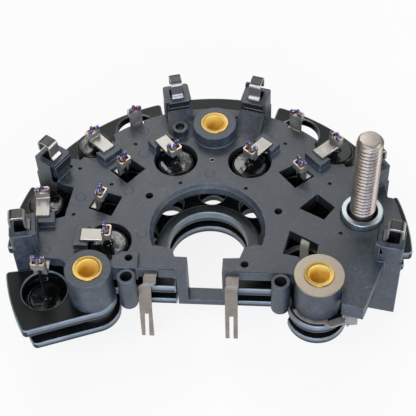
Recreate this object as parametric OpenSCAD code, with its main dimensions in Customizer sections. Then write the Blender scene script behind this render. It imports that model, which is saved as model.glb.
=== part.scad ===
// Bridge rectifier of a vehicle alternator: two stacked heat sink plates, press-fit diodes,
// a moulded insulator plate with the phase bars inside it, and a threaded output stud.
// Millimetres, +Z up. The origin is the shaft axis on the mounting plane.

/* [Mounting] */
// diameter of the circle the three fixing bushes stand on
bolt_pcd = 80; // [78.5:0.5:82]
// bore of a fixing bush
bush_bore = 6.2; // [5.4:0.1:6.6]
// outside of a fixing bush
bush_od = 8; // [7.6:0.1:8.4]
// outside of the turned flange of a bush
bush_flange_od = 9.4; // [8.8:0.1:10.5]
// thickness of the turned flange
bush_flange_t = 0.8; // [0.5:0.1:1.2]
// outside of the moulded boss around a bush
boss_od = 14.2; // [13:0.2:14.6]
// height of the boss above the insulator face
boss_rise = 4.5; // [3:0.25:6]
// outside of the steel washer on the right boss
washer_od = 15.2; // [13:0.2:16]
// thickness of the steel washer
washer_t = 0.9; // [0.5:0.1:1.5]

/* [Heat sinks] */
// outer radius of the positive plate
pos_r = 64.4; // [63:0.2:66]
// thickness of the positive plate
pos_t = 3.3; // [2.5:0.1:4]
// outer radius of the negative plate
neg_r = 62.4; // [61.5:0.2:64]
// thickness of the negative plate
neg_t = 2.6; // [2:0.1:3.5]
// air gap between the two plates
sink_gap = 3.4; // [3.2:0.1:5]
// radius of the shaft opening through both plates
shaft_r = 12.5; // [11:0.25:13.5]
// outer radius of the raised rim around the shaft opening
rim_r = 16; // [14.5:0.25:16.2]
// height of that rim above the positive plate
rim_rise = 0.9; // [0.4:0.1:1.5]
// radius of a cooling hole
vent_r = 4.4; // [3:0.1:4.6]
// radius of the circle of cooling holes
vent_ring = 21.2; // [21:0.1:21.6]

/* [Diodes] */
// radius of the pressed body of a diode
diode_r = 6.3; // [5.8:0.1:6.35]
// play between a diode body and its bore
press_play = 0.05; // [0.02:0.01:0.1]
// radius of the shoulder that stops a diode on its plate
shoulder_r = 6.6; // [6.4:0.05:6.7]
// height of a positive diode above its plate
diode_h = 8; // [6.5:0.25:8.25]
// height of a negative diode above its plate
diode_neg_h = 3.2; // [2.6:0.1:3.3]
// radius of the sealed top of a diode
cup_r = 5.75; // [5:0.05:5.9]
// radius of a diode lead
lead_r = 0.6; // [0.4:0.05:0.7]
// radius of the holes that clear a diode
clear_r = 7.05; // [6.9:0.05:7.1]

/* [Insulator] */
// height of the insulator face above the mounting plane
face_z = 18.5; // [18:0.25:20]
// thickness of the moulded plate
plate_t = 4.2; // [3.6:0.1:4.8]
// outer radius of the moulded plate
plate_r = 50.8; // [50:0.1:51]
// radius of the slot around the shaft
slot_r = 17; // [16.75:0.25:17.5]
// bevel around that slot
slot_bevel = 1.2; // [0.4:0.1:1.6]
// width of a lead tower across
tower_w = 8.6; // [8:0.1:9.4]
// depth of a lead tower along the radius
tower_d = 8.2; // [7.8:0.1:8.6]
// height of a lead tower above the insulator face
tower_rise = 7.5; // [6:0.25:9]
// wall of a lead tower
tower_wall = 1.5; // [1:0.1:1.8]
// height of the raised pads that carry the diode tabs
pad_rise = 2.5; // [1.5:0.25:4]
// length the outer guides hang below the mounting plane
guide_drop = 7.5; // [4:0.5:9]

/* [Terminals] */
// thickness of the terminal strip
strip_t = 0.8; // [0.5:0.05:1]
// width of a fork
fork_w = 4.4; // [3.8:0.1:4.8]
// gap between the two prongs of a fork
fork_slot = 1.6; // [1.5:0.05:1.8]
// height of a fork above the insulator face
fork_rise = 7.2; // [6:0.2:9]
// width of a hidden phase strip
bar_w = 3.2; // [2.4:0.1:3.4]
// play around a strip in its channel
strip_play = 0.15; // [0.1:0.05:0.2]
// moulding left above a hidden strip
roof_t = 0.9; // [0.7:0.1:1.2]
// width of a stator lead hook
hook_w = 3.8; // [3:0.1:4.4]
// span of a hook along the radius
hook_span = 6.2; // [5:0.2:6.4]
// height of a hook above its tower
hook_rise = 8.4; // [6:0.2:10]
// thickness of the hook strip
hook_t = 0.9; // [0.6:0.1:1.1]
// outer radius of the bends of a hook
hook_bend = 1.8; // [1.3:0.1:2.4]
// width of a spring contact
contact_w = 4; // [3.2:0.1:4.4]
// thickness of the spring strip
contact_t = 0.6; // [0.4:0.05:0.8]
// length the contact prongs hang below the mounting plane
contact_drop = 16.5; // [10:0.5:20]

/* [Output stud] */
// thread size of the output stud
stud_d = 8; // [6:0.5:8.5]
// length of the stud above the insulator face
stud_rise = 35.5; // [25:0.5:45]
// outside of the sleeve around the stud
sleeve_od = 13.2; // [12:0.2:14]
// bore of the sleeve around the stud
sleeve_id = 9.4; // [9:0.1:10]
// height of the sleeve above the insulator face
sleeve_rise = 2.3; // [1:0.1:4]
// radius of the stud head under the positive plate
head_r = 6.5; // [5:0.25:7]
// thickness of the stud head
head_t = 2.2; // [1.5:0.1:2.4]

/* [Hidden] */
fn_big = 96;
fn_mid = 48;
fn_small = 20;
eps = 0.01;
cut = 1;
pos_z = neg_t + sink_gap;
pos_top = pos_z + pos_t;
plate_z = face_z - plate_t;
strip_z = face_z - roof_t - strip_t;
boss_top = face_z + boss_rise;
tower_top = face_z + tower_rise;
tab_z = face_z + pad_rise;
fork_top = face_z + fork_rise;
bush_ang = [90, 210, 330];
bush_right = 2;
clear = 0.3;
seat_play = 0.05;
sleeve_wall = 1.2;
sleeve_in_r = bush_od / 2 + seat_play;
neck_r = sleeve_in_r + sleeve_wall;
front_y = -16.4;
leg_x = 8.6;
notch_x = 5.4;
shoulder_y = -11.4;
sink_leg_x = leg_x + 0.4;
stud_at = [48, 7.2];
pos_at = [[-12.1, 27.8], [12.1, 27.8], [-30.2, -6.2], [-52.6, 8.9], [-40.1, 34.5], [40.1, 34.5]];
pos_dir = [130, 50, 180, 277, 317, 223];
neg_at = [[-27.25, 44.3], [27.25, 44.3], [-28.1, 22.4], [28.1, 22.4], [-33.8, 8.6], [-49.8, -19.2]];
neg_dir = [301.6, 238.4, 140, 40, 160, 90];
clear_at = [[-27.7, 48.4], [27.7, 48.4], neg_at[2], neg_at[3], neg_at[4], neg_at[5]];
tower_ring = plate_r + 1.1;
tower_at = [[104.73, tower_ring, 104.5], [75.27, tower_ring, 75.5], [156.75, 55.73, 147],
            [23.25, 55.73, 33], [187, 56.62, 190], [-7, 56.62, -10]];
corner_at = [43.3, -26.6];
tab_reach = 8.4;
root_reach = 6;
strap_hole = [30.2, -6.2];
strap_at = [30.3, -2.9];
strap_top = [32.2, 2];
strap_w = 2.8;
strap_t = 0.6;
lobe_r = 8.3;
pos_front = 7.4;
neg_front = 8.3;
front_slope = 200;
far = 90;
spacer_od = 13;
post_y = -11.6;
bar_h = 2.5;
pin_r = 0.65;
pin_deep = 0.6;
hole_r = 1.25;
block_rise = 2;
peg_at = [-11.5, 39.5];
peg_od = 5.2;
peg_bore = 3.1;
peg_rise = 3;
pad_w = 7.4;
pad_from = 5.2;
pad_to = 10.6;
corner_deep = 5.7;
corner_w = 3.4;
corner_h = 8;
corner_hang = 5.4;
contact_x = [-16.25, 8.7];
contact_y = -17.1;
contact_tail_y = -12.5;
contact_z = face_z - 1.9;
prong_slot = 1.3;
prong_top = -3.5;
stud_chamfer = 0.8;
elbow = 0.5;
fork_face = lead_r + 0.1;
prong_h = 1.7;
fork_gap_out = 4;
fork_gap_side = 0.3;
fork_gap_in = fork_face + strip_t + 0.9;
hook_shift = 0.5;
hook_in = hook_shift - hook_span / 2;
pocket_deep = 1;
pocket_h = 2.5;
lip_t = 0.5;
lip_side = 0.7;
stud_neck_d = stud_d - 0.8;
stud_grip_d = stud_d + 0.5;
stud_free = 0.2;
vent_ang = [10, 50, 90, 130, 170];
tube_x = 23.3;
tube_y = -20.2;
tube_od = 5.6;
tube_bore = 3.7;
tube_z0 = 6;
tube_rise = 1.5;

function polar(a, r) = [r * cos(a), r * sin(a)];
function ahead(p, a, d) = p + polar(a, d);
function bush_at(i) = polar(bush_ang[i], bolt_pcd / 2);
function tower_mid(i) = polar(tower_at[i][0], tower_at[i][1]);
function tower_dir(i) = tower_at[i][2];
function hook_foot(i) = ahead(tower_mid(i), tower_dir(i), hook_in + hook_t / 2);
function riser_at(i) = ahead(pos_at[i], pos_dir[i], tab_reach);
function flip(p) = [-p[0], p[1]];
function flip_all(pts) = [for (p = pts) flip(p)];

// straight run of a flat strip between two points, seen from above
module run2d(p, q, w) {
    d = q - p;
    translate(p)
        rotate(atan2(d[1], d[0]))
            translate([0, -w / 2])
                square([norm(d), w]);
}

// chain of strip runs with round corners
module route2d(pts, w) {
    for (i = [0 : len(pts) - 2])
        run2d(pts[i], pts[i + 1], w);
    for (p = pts)
        translate(p)
            circle(d = w + elbow, $fn = fn_small);
}

// box centred on its own axis, turned to face a direction
module facing(at, a) {
    translate([at[0], at[1], 0])
        rotate([0, 0, a])
            children();
}

// rectangle of a tower with some play around it
module tower2d(i, play = 0) {
    facing(tower_mid(i), tower_dir(i))
        square([tower_d + 2 * play, tower_w + 2 * play], center = true);
}

// notch in a heat sink that lets a tower through to the rim
module tower_notch2d(i) {
    facing(tower_mid(i), tower_dir(i))
        translate([-tower_d / 2 - clear, -tower_w / 2 - clear])
            square([tower_d + 20, tower_w + 2 * clear]);
}

// half of the field a heat sink plate may fill, front edge given by its distance from the left bush
module sink_field2d(front) {
    left = bush_at(1);
    right = bush_at(2);
    edge = ahead(left, front_slope + 90, front);
    polygon([[-sink_leg_x, front_y], [-24, front_y], left, edge, ahead(edge, front_slope, far),
             [-far, 0], [-far, far], [far, far], [far, 1], [50.5, -1.5], [49, -14], [43.4, -20], right,
             [24, front_y], [sink_leg_x, front_y], [sink_leg_x, 0], [-sink_leg_x, 0]]);
}

// outline both heat sink plates share
module sink2d(r, front) {
    difference() {
        union() {
            intersection() {
                circle(r = r, $fn = fn_big);
                sink_field2d(front);
            }
            for (i = [1, 2])
                translate(bush_at(i))
                    circle(r = i == bush_right ? lobe_r + 0.9 : front, $fn = fn_mid);
        }
        circle(r = shaft_r, $fn = fn_mid);
        for (i = [0 : len(tower_at) - 1])
            tower_notch2d(i);
        for (a = vent_ang)
            translate(polar(a, vent_ring))
                circle(r = vent_r, $fn = fn_mid);
        for (s = [-1, 1])
            translate([s * tube_x, tube_y])
                circle(d = tube_od + 2 * clear, $fn = fn_mid);
    }
}

module drill(at, r, z0, z1, fn = fn_mid) {
    translate([at[0], at[1], z0 - cut])
        cylinder(r = r, h = z1 - z0 + 2 * cut, $fn = fn);
}

module negative_heat_sink() {
    color([0.25, 0.27, 0.27])
        difference() {
            linear_extrude(neg_t)
                sink2d(neg_r, neg_front);
            for (p = neg_at)
                drill(p, diode_r + press_play, 0, neg_t);
            for (i = [0 : 2])
                drill(bush_at(i), bush_od / 2 + seat_play, 0, neg_t);
        }
}

module positive_heat_sink() {
    color([0.25, 0.28, 0.28])
        translate([0, 0, pos_z])
            difference() {
                union() {
                    linear_extrude(pos_t)
                        sink2d(pos_r, pos_front);
                    linear_extrude(pos_t + rim_rise)
                        intersection() {
                            difference() {
                                circle(r = rim_r, $fn = fn_mid);
                                circle(r = shaft_r, $fn = fn_mid);
                            }
                            sink_field2d(pos_front);
                        }
                }
                for (p = pos_at)
                    drill(p, diode_r + press_play, 0, pos_t);
                for (p = clear_at)
                    drill(p, clear_r, 0, pos_t);
                for (i = [0 : 2])
                    drill(bush_at(i), neck_r + seat_play, 0, pos_t);
                drill(strap_hole, clear_r, 0, pos_t);
                drill(stud_at, stud_grip_d / 2 + seat_play, 0, pos_t);
            }
}

// turned brass bush, its flange on whatever lies on the boss
module bush(i, under) {
    color([0.8, 0.62, 0.26])
        translate([bush_at(i)[0], bush_at(i)[1], 0])
            difference() {
                union() {
                    cylinder(d = bush_od, h = boss_top + under + bush_flange_t, $fn = fn_mid);
                    translate([0, 0, boss_top + under])
                        cylinder(d = bush_flange_od, h = bush_flange_t, $fn = fn_mid);
                }
                translate([0, 0, -cut])
                    cylinder(d = bush_bore, h = boss_top + under + bush_flange_t + 2 * cut, $fn = fn_mid);
            }
}

module mounting_bush_top() {
    bush(0, 0);
}

module mounting_bush_left() {
    bush(1, 0);
}

module mounting_bush_right() {
    bush(2, washer_t);
}

module bush_washer() {
    color([0.78, 0.74, 0.72])
        translate([bush_at(bush_right)[0], bush_at(bush_right)[1], boss_top])
            difference() {
                cylinder(d = washer_od, h = washer_t, $fn = fn_mid);
                translate([0, 0, -cut])
                    cylinder(d = bush_od + 2 * seat_play, h = washer_t + 2 * cut, $fn = fn_mid);
            }
}

// insulating ring that keeps the two plates apart around a bush
module spacer(i) {
    color([0.2, 0.21, 0.22])
        translate([bush_at(i)[0], bush_at(i)[1], neg_t])
            difference() {
                cylinder(d = spacer_od, h = sink_gap, $fn = fn_mid);
                translate([0, 0, -cut])
                    cylinder(r = sleeve_in_r, h = sink_gap + 2 * cut, $fn = fn_mid);
            }
}

module sink_spacer_top() {
    spacer(0);
}

module sink_spacer_left() {
    spacer(1);
}

module sink_spacer_right() {
    spacer(2);
}

// press-fit diode: pressed body, stop shoulder, sealed cup and its lead
module diode(at, top, t, h) {
    color([0.3, 0.31, 0.32])
        translate([at[0], at[1], 0]) {
            translate([0, 0, top - t])
                cylinder(r = diode_r, h = t + eps, $fn = fn_mid);
            translate([0, 0, top])
                cylinder(r = shoulder_r, h = 1.2, $fn = fn_mid);
            translate([0, 0, top])
                cylinder(r = cup_r, h = h, $fn = fn_mid);
            translate([0, 0, top])
                cylinder(r = lead_r, h = fork_top - top, $fn = fn_small);
        }
}

module diode_pos(i) {
    diode(pos_at[i], pos_top, pos_t, diode_h);
}

module diode_neg(i) {
    diode(neg_at[i], neg_t, neg_t, diode_neg_h);
}

module diode_pos_1() {
    diode_pos(0);
}

module diode_pos_2() {
    diode_pos(1);
}

module diode_pos_3() {
    diode_pos(2);
}

module diode_pos_4() {
    diode_pos(3);
}

module diode_pos_5() {
    diode_pos(4);
}

module diode_pos_6() {
    diode_pos(5);
}

module diode_neg_1() {
    diode_neg(0);
}

module diode_neg_2() {
    diode_neg(1);
}

module diode_neg_3() {
    diode_neg(2);
}

module diode_neg_4() {
    diode_neg(3);
}

module diode_neg_5() {
    diode_neg(4);
}

module diode_neg_6() {
    diode_neg(5);
}

// upturned end of a strip: a plate beside a diode lead, with two prongs that are welded to it
module fork(at, a, z) {
    prong_w = (fork_w - fork_slot) / 2;
    facing(at, a) {
        translate([fork_face, -fork_w / 2, z])
            cube([strip_t, fork_w, fork_top - prong_h - z]);
        for (s = [-1, 1])
            translate([fork_face, s * (fork_slot + prong_w) / 2 - prong_w / 2, z])
                cube([strip_t, prong_w, fork_top - z]);
    }
}

// flat tab that a fork stands on, seen from above, with some play around it
module tab2d(at, a, reach, play = 0) {
    facing(at, a)
        translate([fork_face - play, -fork_w / 2 - play])
            square([reach - fork_face + 2 * play, fork_w + 2 * play]);
}

// fork of a positive diode: its tab lies on a pad and dips to the hidden strip
module fork_pos(i) {
    translate([0, 0, tab_z])
        linear_extrude(strip_t)
            tab2d(pos_at[i], pos_dir[i], tab_reach);
    fork(pos_at[i], pos_dir[i], tab_z + strip_t / 2);
    facing(riser_at(i), pos_dir[i])
        translate([-strip_t, -fork_w / 2, strip_z + strip_t / 2])
            cube([strip_t, fork_w, tab_z - strip_z]);
}

function fork_root(i) = ahead(neg_at[i], neg_dir[i], root_reach - 1);

// upright rectangle with two round upper corners
module arch2d(half, foot, top, r) {
    translate([-half, foot])
        square([2 * half, top - r - foot]);
    translate([r - half, foot])
        square([2 * (half - r), top - foot]);
    for (s = [-1, 1])
        translate([s * (half - r), top - r])
            circle(r = r, $fn = fn_small);
}

// inverted U that a stator lead is crimped into, its outer leg free
module hook(i) {
    half = hook_span / 2;
    foot = strip_z + strip_t / 2;
    top = tower_top + hook_rise;
    facing(tower_mid(i), tower_dir(i))
        translate([hook_shift, 0, 0])
            rotate([90, 0, 0])
                linear_extrude(hook_w, center = true)
                    difference() {
                        arch2d(half, foot, top, hook_bend);
                        translate([0, -cut])
                            arch2d(half - hook_t, foot, top - hook_t + cut, hook_bend - hook_t);
                        translate([0, foot - cut])
                            square([half + cut, tower_top + hook_rise * 0.3 - foot + cut]);
                    }
}

// each hidden strip: its routes, its hook, its positive diodes and its negative diodes
bars = [
    [[[riser_at(0), [-19.4, 38.8], [-15.5, 44.6], hook_foot(0)], [[-19.4, 38.8], fork_root(0)]], 0, [0], [0]],
    [[[riser_at(1), [19.4, 38.8], [15.5, 44.6], hook_foot(1)], [[19.4, 38.8], fork_root(1)]], 1, [1], [1]],
    [[[hook_foot(2), [-42, 25.2], [-37, 26.6], riser_at(4)], [[-37, 26.6], fork_root(2)]], 2, [4], [2]],
    [[[hook_foot(3), [42, 25.2], [37, 26.6], riser_at(5)], [[37, 26.6], fork_root(3)]], 3, [5], [3]],
    [[[hook_foot(4), [-50.6, -3], riser_at(3)], [[-50.6, -3], [-43, -1.5], [-41.8, 7], fork_root(4)],
      [[-43, -1.5], riser_at(2)], [[-50.6, -3], [-49.8, -11], fork_root(5)]], 4, [2, 3], [4, 5]],
    [[[hook_foot(5), [44, -3], [36, 0.8], strap_top]], 5, [], []]
];

// everything of a strip that lies flat at its own level, with some play around it
module flat2d(k, play) {
    b = bars[k];
    for (r = b[0])
        route2d(r, bar_w + 2 * play);
    facing(tower_mid(b[1]), tower_dir(b[1]))
        translate([hook_in - play, -hook_w / 2 - play])
            square([hook_t + 2 * play, hook_w + 2 * play]);
    for (i = b[2])
        facing(riser_at(i), pos_dir[i])
            translate([-strip_t - play, -fork_w / 2 - play])
                square([strip_t + 2 * play, fork_w + 2 * play]);
    for (i = b[3])
        tab2d(neg_at[i], neg_dir[i], root_reach, play);
}

module terminal(k) {
    b = bars[k];
    color([0.8, 0.79, 0.76]) {
        translate([0, 0, strip_z])
            linear_extrude(strip_t)
                flat2d(k, 0);
        hook(b[1]);
        for (i = b[2])
            fork_pos(i);
        for (i = b[3])
            fork(neg_at[i], neg_dir[i], strip_z + strip_t / 2);
    }
}

module phase_bar_1() {
    terminal(0);
}

module phase_bar_2() {
    terminal(1);
}

module phase_bar_3() {
    terminal(2);
}

module phase_bar_4() {
    terminal(3);
}

module phase_bar_5() {
    terminal(4);
}

module tap_bar() {
    terminal(5);
}

// strap from the tap bar down through the positive plate to the negative plate
module link_strap() {
    d = strap_at - strap_top;
    color([0.8, 0.79, 0.76])
        facing(strap_top, atan2(d[1], d[0])) {
            translate([-1, -strap_w / 2, strip_z - strap_t])
                cube([norm(d) + 1, strap_w, strap_t]);
            translate([norm(d) - strap_t, -strap_w / 2, neg_t])
                cube([strap_t, strap_w, strip_z - neg_t]);
            translate([norm(d) - strap_t, -strap_w / 2, neg_t])
                cube([4, strap_w, strap_t]);
        }
}

// front outline of a spring contact, with a side step and two prongs
module contact2d(step) {
    half = contact_w / 2;
    knee = contact_z - 5.4;
    difference() {
        polygon([[-half, contact_z + contact_t], [half, contact_z + contact_t], [half, knee], [half - step, knee - 1],
                 [half - step, 2], [half - step * 0.6, -contact_drop], [-half - step * 0.6, -contact_drop],
                 [-half - step, 2], [-half - step, knee - 1], [-half, knee]]);
        translate([-step * 0.75 - prong_slot / 2, -contact_drop - cut])
            square([prong_slot, contact_drop + prong_top + cut]);
    }
}

module contact(i, step) {
    color([0.75, 0.72, 0.69]) {
        translate([contact_x[i], contact_y, 0])
            rotate([90, 0, 0])
                linear_extrude(contact_t)
                    contact2d(step);
        translate([contact_x[i] - contact_w / 2, contact_y - contact_t, contact_z])
            cube([contact_w, contact_tail_y - contact_y + contact_t, contact_t]);
    }
}

module spring_contact_left() {
    contact(0, 1.5);
}

module spring_contact_right() {
    contact(1, 0.3);
}

module output_stud() {
    thread_z = face_z + sleeve_rise + stud_free;
    color([0.72, 0.67, 0.63])
        translate([stud_at[0], stud_at[1], 0]) {
            translate([0, 0, pos_z - head_t])
                cylinder(r = head_r, h = head_t, $fn = fn_mid);
            translate([0, 0, pos_z - head_t / 2])
                cylinder(d = stud_grip_d, h = pos_t + head_t / 2, $fn = fn_mid);
            translate([0, 0, pos_z])
                cylinder(d = stud_neck_d, h = thread_z - pos_z + stud_free, $fn = fn_mid);
            translate([0, 0, thread_z])
                cylinder(d = stud_d, h = face_z + stud_rise - stud_chamfer - thread_z, $fn = fn_mid);
            translate([0, 0, face_z + stud_rise - stud_chamfer])
                cylinder(d1 = stud_d, d2 = stud_d - 2 * stud_chamfer, h = stud_chamfer, $fn = fn_mid);
        }
}

module stud_sleeve() {
    color([0.66, 0.7, 0.71])
        translate([stud_at[0], stud_at[1], pos_top])
            difference() {
                cylinder(d = sleeve_od, h = face_z + sleeve_rise - pos_top, $fn = fn_mid);
                translate([0, 0, -cut])
                    cylinder(d = sleeve_id, h = face_z + sleeve_rise - pos_top + 2 * cut, $fn = fn_mid);
            }
}

// flat terminal on the positive plate beside the right boss
module side_terminal() {
    color([0.5, 0.49, 0.47])
        translate([38.9, -29.4, pos_top])
            rotate([0, 0, 24])
                cube([4.6, 2.4, strip_t]);
}

// tab that hangs out of the deep front corner
module corner_terminal() {
    color([0.5, 0.49, 0.47]) {
        translate([corner_at[0], corner_at[1], face_z - corner_deep - corner_hang])
            cube([corner_w, strip_t, corner_h]);
        translate([corner_at[0] + corner_w / 5, corner_at[1] + strip_t / 2, face_z - corner_deep - corner_hang - 1.2])
            cylinder(r = strip_t / 2, h = 2, $fn = fn_small);
    }
}

// openings a mould core leaves in the plate, seen from above
module windows2d() {
    for (s = [-1, 1])
        scale([s, 1])
            polygon([[-21.7, 23.5], [-27, 17.2], [-33.2, 22.4], [-27.2, 27.6]]);
    polygon([[-38.2, 6.5], [-30.6, 3.7], [-28, 11.6], [-35.4, 13.7]]);
    polygon([[28.5, 9], [34.1, 15.1], [39.6, 9.8], [36.2, 4.8]]);
    polygon([[25.7, 0.1], [34.6, -5], [33.5, -10.8], [23.7, -8.8]]);
    polygon([[-70, 17], [-51.2, 17], [-44.1, 14.8], [-45.4, 3], [-48.1, 2], [-70, 2]]);
}

module plate2d() {
    difference() {
        union() {
            intersection() {
                circle(r = plate_r, $fn = fn_big);
                polygon([[-far, far], [far, far], [far, -6.5], [-far, -6.5]]);
            }
            polygon([[-38, 4], [-48.1, 4], [-57, 4], [-58, -1], [-52, -11], [-53.6, -13.4], [-44.5, -13.4], [-40, -17],
                     [-30, -17], [-25, -6]]);
            polygon([[38, 4], [42, 20], [49, 27], [54.5, 26.4], [56.3, 14.5], [57.8, 14.2], [59, 11.8], [60.4, 5.5],
                     [60.2, -1], [55.2, -9.2], [48, -28.2], [41.5, -26.5], [41.5, -17], [34, -12], [25, -6]]);
            for (s = [-1, 1])
                scale([s, 1])
                    polygon([[-notch_x, front_y], [-notch_x, shoulder_y], [-9.5, shoulder_y], [-11, -7.5], [-15.4, -6.5],
                             [-25, -5], [-30, -12], [-28, front_y]]);
            for (s = [-1, 1])
                scale([s, 1])
                    polygon([[-36, 17], [-40, 25.5], [-45.5, 27], [-49.5, 25.2], [-51.5, 18], [-46, 15.5]]);
            for (i = [0 : 2])
                translate(bush_at(i))
                    circle(d = boss_od, $fn = fn_mid);
            for (i = [0 : len(tower_at) - 1])
                tower2d(i);
        }
        circle(r = slot_r, $fn = fn_big);
        windows2d();
    }
}

module pads() {
    for (i = [0 : len(pos_at) - 1])
        facing(pos_at[i], pos_dir[i])
            translate([pad_from, -pad_w / 2, face_z])
                cube([pad_to - pad_from, pad_w, pad_rise]);
}

module tower(i) {
    z0 = i >= 4 ? -guide_drop : 0.5;
    facing(tower_mid(i), tower_dir(i))
        difference() {
            translate([-tower_d / 2, -tower_w / 2, z0])
                cube([tower_d, tower_w, tower_top - z0]);
            translate([-tower_d / 2 + tower_wall, -tower_w / 2 + tower_wall, z0 - cut])
                cube([tower_d - 2 * tower_wall, tower_w - 2 * tower_wall, tower_top - z0 - 3 + cut]);
            translate([-tower_d / 2 - cut, -tower_w / 2 + lip_side, tower_top - lip_t - pocket_h])
                cube([cut + pocket_deep, tower_w - 2 * lip_side, pocket_h]);
        }
}

// room for a strip from below, up to the moulding left above it
module channel(k) {
    translate([0, 0, plate_z - cut])
        linear_extrude(strip_z + strip_t - plate_z + cut)
            flat2d(k, strip_play);
}

module hook_slot(i) {
    facing(tower_mid(i), tower_dir(i))
        translate([hook_in - strip_play, -hook_w / 2 - strip_play, strip_z])
            cube([hook_t + 2 * strip_play, hook_w + 2 * strip_play, tower_top - strip_z + cut]);
}

module riser_slot(i) {
    facing(riser_at(i), pos_dir[i])
        translate([-strip_t - strip_play, -fork_w / 2 - strip_play, strip_z])
            cube([strip_t + 2 * strip_play, fork_w + 2 * strip_play, tab_z - strip_z + cut]);
}

// room for the strap under the tap bar
module strap_slot() {
    d = strap_at - strap_top;
    facing(strap_top, atan2(d[1], d[0]))
        translate([-1 - strip_play, -strap_w / 2 - strip_play, plate_z - cut])
            cube([norm(d) + 1 + 2 * strip_play, strap_w + 2 * strip_play, strip_z + strip_t / 2 - plate_z + cut]);
}

// gap in the outer edge where a strip comes out and turns up into its fork
module fork_gap(i) {
    facing(neg_at[i], neg_dir[i])
        translate([-fork_gap_out, -fork_w / 2 - fork_gap_side, plate_z - cut])
            cube([fork_gap_out + fork_gap_in, fork_w + 2 * fork_gap_side, plate_t + 2 * cut]);
}

pins = [[-9.8, 17.8], [11.3, 16.3], [-32, 16.4], [-42.6, 3.7], [-43.1, 22.6], [-26, 33.8], [-15.6, 44.5], [7, 46.8],
        [23.4, 35.7], [38, 19.2], [41.3, -0.5], [-0.2, 27.9]];

module insulator_plate() {
    color([0.36, 0.38, 0.41])
        difference() {
            union() {
                translate([0, 0, plate_z])
                    linear_extrude(plate_t)
                        plate2d();
                pads();
                for (i = [0 : len(tower_at) - 1])
                    tower(i);
                for (i = [0 : 2])
                    translate([bush_at(i)[0], bush_at(i)[1], 0]) {
                        translate([0, 0, pos_top])
                            cylinder(d = boss_od, h = boss_top - pos_top, $fn = fn_mid);
                        translate([0, 0, pos_z])
                            cylinder(r = neck_r, h = pos_t + eps, $fn = fn_mid);
                    }
                for (s = [-1, 1])
                    translate([s > 0 ? notch_x : -leg_x, front_y, 0])
                        cube([leg_x - notch_x, post_y - front_y, face_z]);
                translate([-leg_x, front_y, 0])
                    cube([2 * leg_x, post_y - front_y, bar_h]);
                for (s = [-1, 1])
                    translate([s * tube_x, tube_y, tube_z0])
                        cylinder(d = tube_od, h = face_z + tube_rise - tube_z0, $fn = fn_mid);
                for (s = [-1, 1])
                    translate([s * tube_x - 1, tube_y, plate_z])
                        cube([2, front_y - tube_y + 1, plate_t - 1]);
                translate([-28.2, -17.5, plate_z])
                    cube([8, 6.2, plate_t + block_rise]);
                translate([peg_at[0], peg_at[1], face_z - eps])
                    cylinder(d = peg_od, h = peg_rise, $fn = fn_mid);
                translate([0, 0, face_z - corner_deep])
                    linear_extrude(corner_deep)
                        polygon([[41.5, -26.5], [48, -28.2], [50.5, -21.5], [43.9, -20]]);
            }
            translate([0, 0, face_z - slot_bevel])
                cylinder(r1 = slot_r, r2 = slot_r + slot_bevel + eps, h = slot_bevel + eps, $fn = fn_big);
            for (i = [0 : 2])
                drill(bush_at(i), sleeve_in_r, pos_z, boss_top);
            drill(stud_at, sleeve_od / 2 + strip_play, plate_z, face_z);
            for (k = [0 : len(bars) - 1])
                channel(k);
            strap_slot();
            for (p = pos_at)
                drill(p, clear_r, plate_z, tab_z);
            for (i = [0, 1])
                fork_gap(i);
            for (i = [0 : len(tower_at) - 1])
                hook_slot(i);
            for (i = [0 : len(pos_at) - 1])
                riser_slot(i);
            for (i = [0, 1])
                translate([contact_x[i] - contact_w / 2 - strip_play, front_y - 6, plate_z - cut])
                    cube([contact_w + 2 * strip_play, contact_tail_y - front_y + 6 + strip_play,
                          contact_z + contact_t - plate_z + cut]);
            for (s = [-1, 1])
                drill([s * tube_x, tube_y], tube_bore / 2, tube_z0, face_z + tube_rise, fn_small);
            drill(peg_at, peg_bore / 2, plate_z, face_z + peg_rise, fn_small);
            for (p = [[-19.3, 12.2], [21.9, 7.4], [12.2, -13.4], [-23.1, -13.7]])
                drill(p, hole_r, plate_z, face_z + block_rise, fn_small);
            for (p = pins)
                translate([p[0], p[1], face_z - pin_deep])
                    cylinder(r = pin_r, h = pin_deep + cut, $fn = fn_small);
            translate([corner_at[0] - strip_play, corner_at[1] - strip_play, face_z - corner_deep - cut])
                cube([corner_w + 2 * strip_play, strip_t + 2 * strip_play, cut + corner_h - corner_hang]);
        }
}

negative_heat_sink();
positive_heat_sink();
insulator_plate();
sink_spacer_top();
sink_spacer_left();
sink_spacer_right();
mounting_bush_top();
mounting_bush_left();
mounting_bush_right();
bush_washer();
diode_pos_1();
diode_pos_2();
diode_pos_3();
diode_pos_4();
diode_pos_5();
diode_pos_6();
diode_neg_1();
diode_neg_2();
diode_neg_3();
diode_neg_4();
diode_neg_5();
diode_neg_6();
phase_bar_1();
phase_bar_2();
phase_bar_3();
phase_bar_4();
phase_bar_5();
tap_bar();
link_strap();
spring_contact_left();
spring_contact_right();
output_stud();
stud_sleeve();
side_terminal();
corner_terminal();
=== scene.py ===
"""Looks of an alternator rectifier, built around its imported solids."""

import math

import bmesh
import bpy
from mathutils import Matrix, Vector, noise
from mathutils.bvhtree import BVHTree


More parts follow.
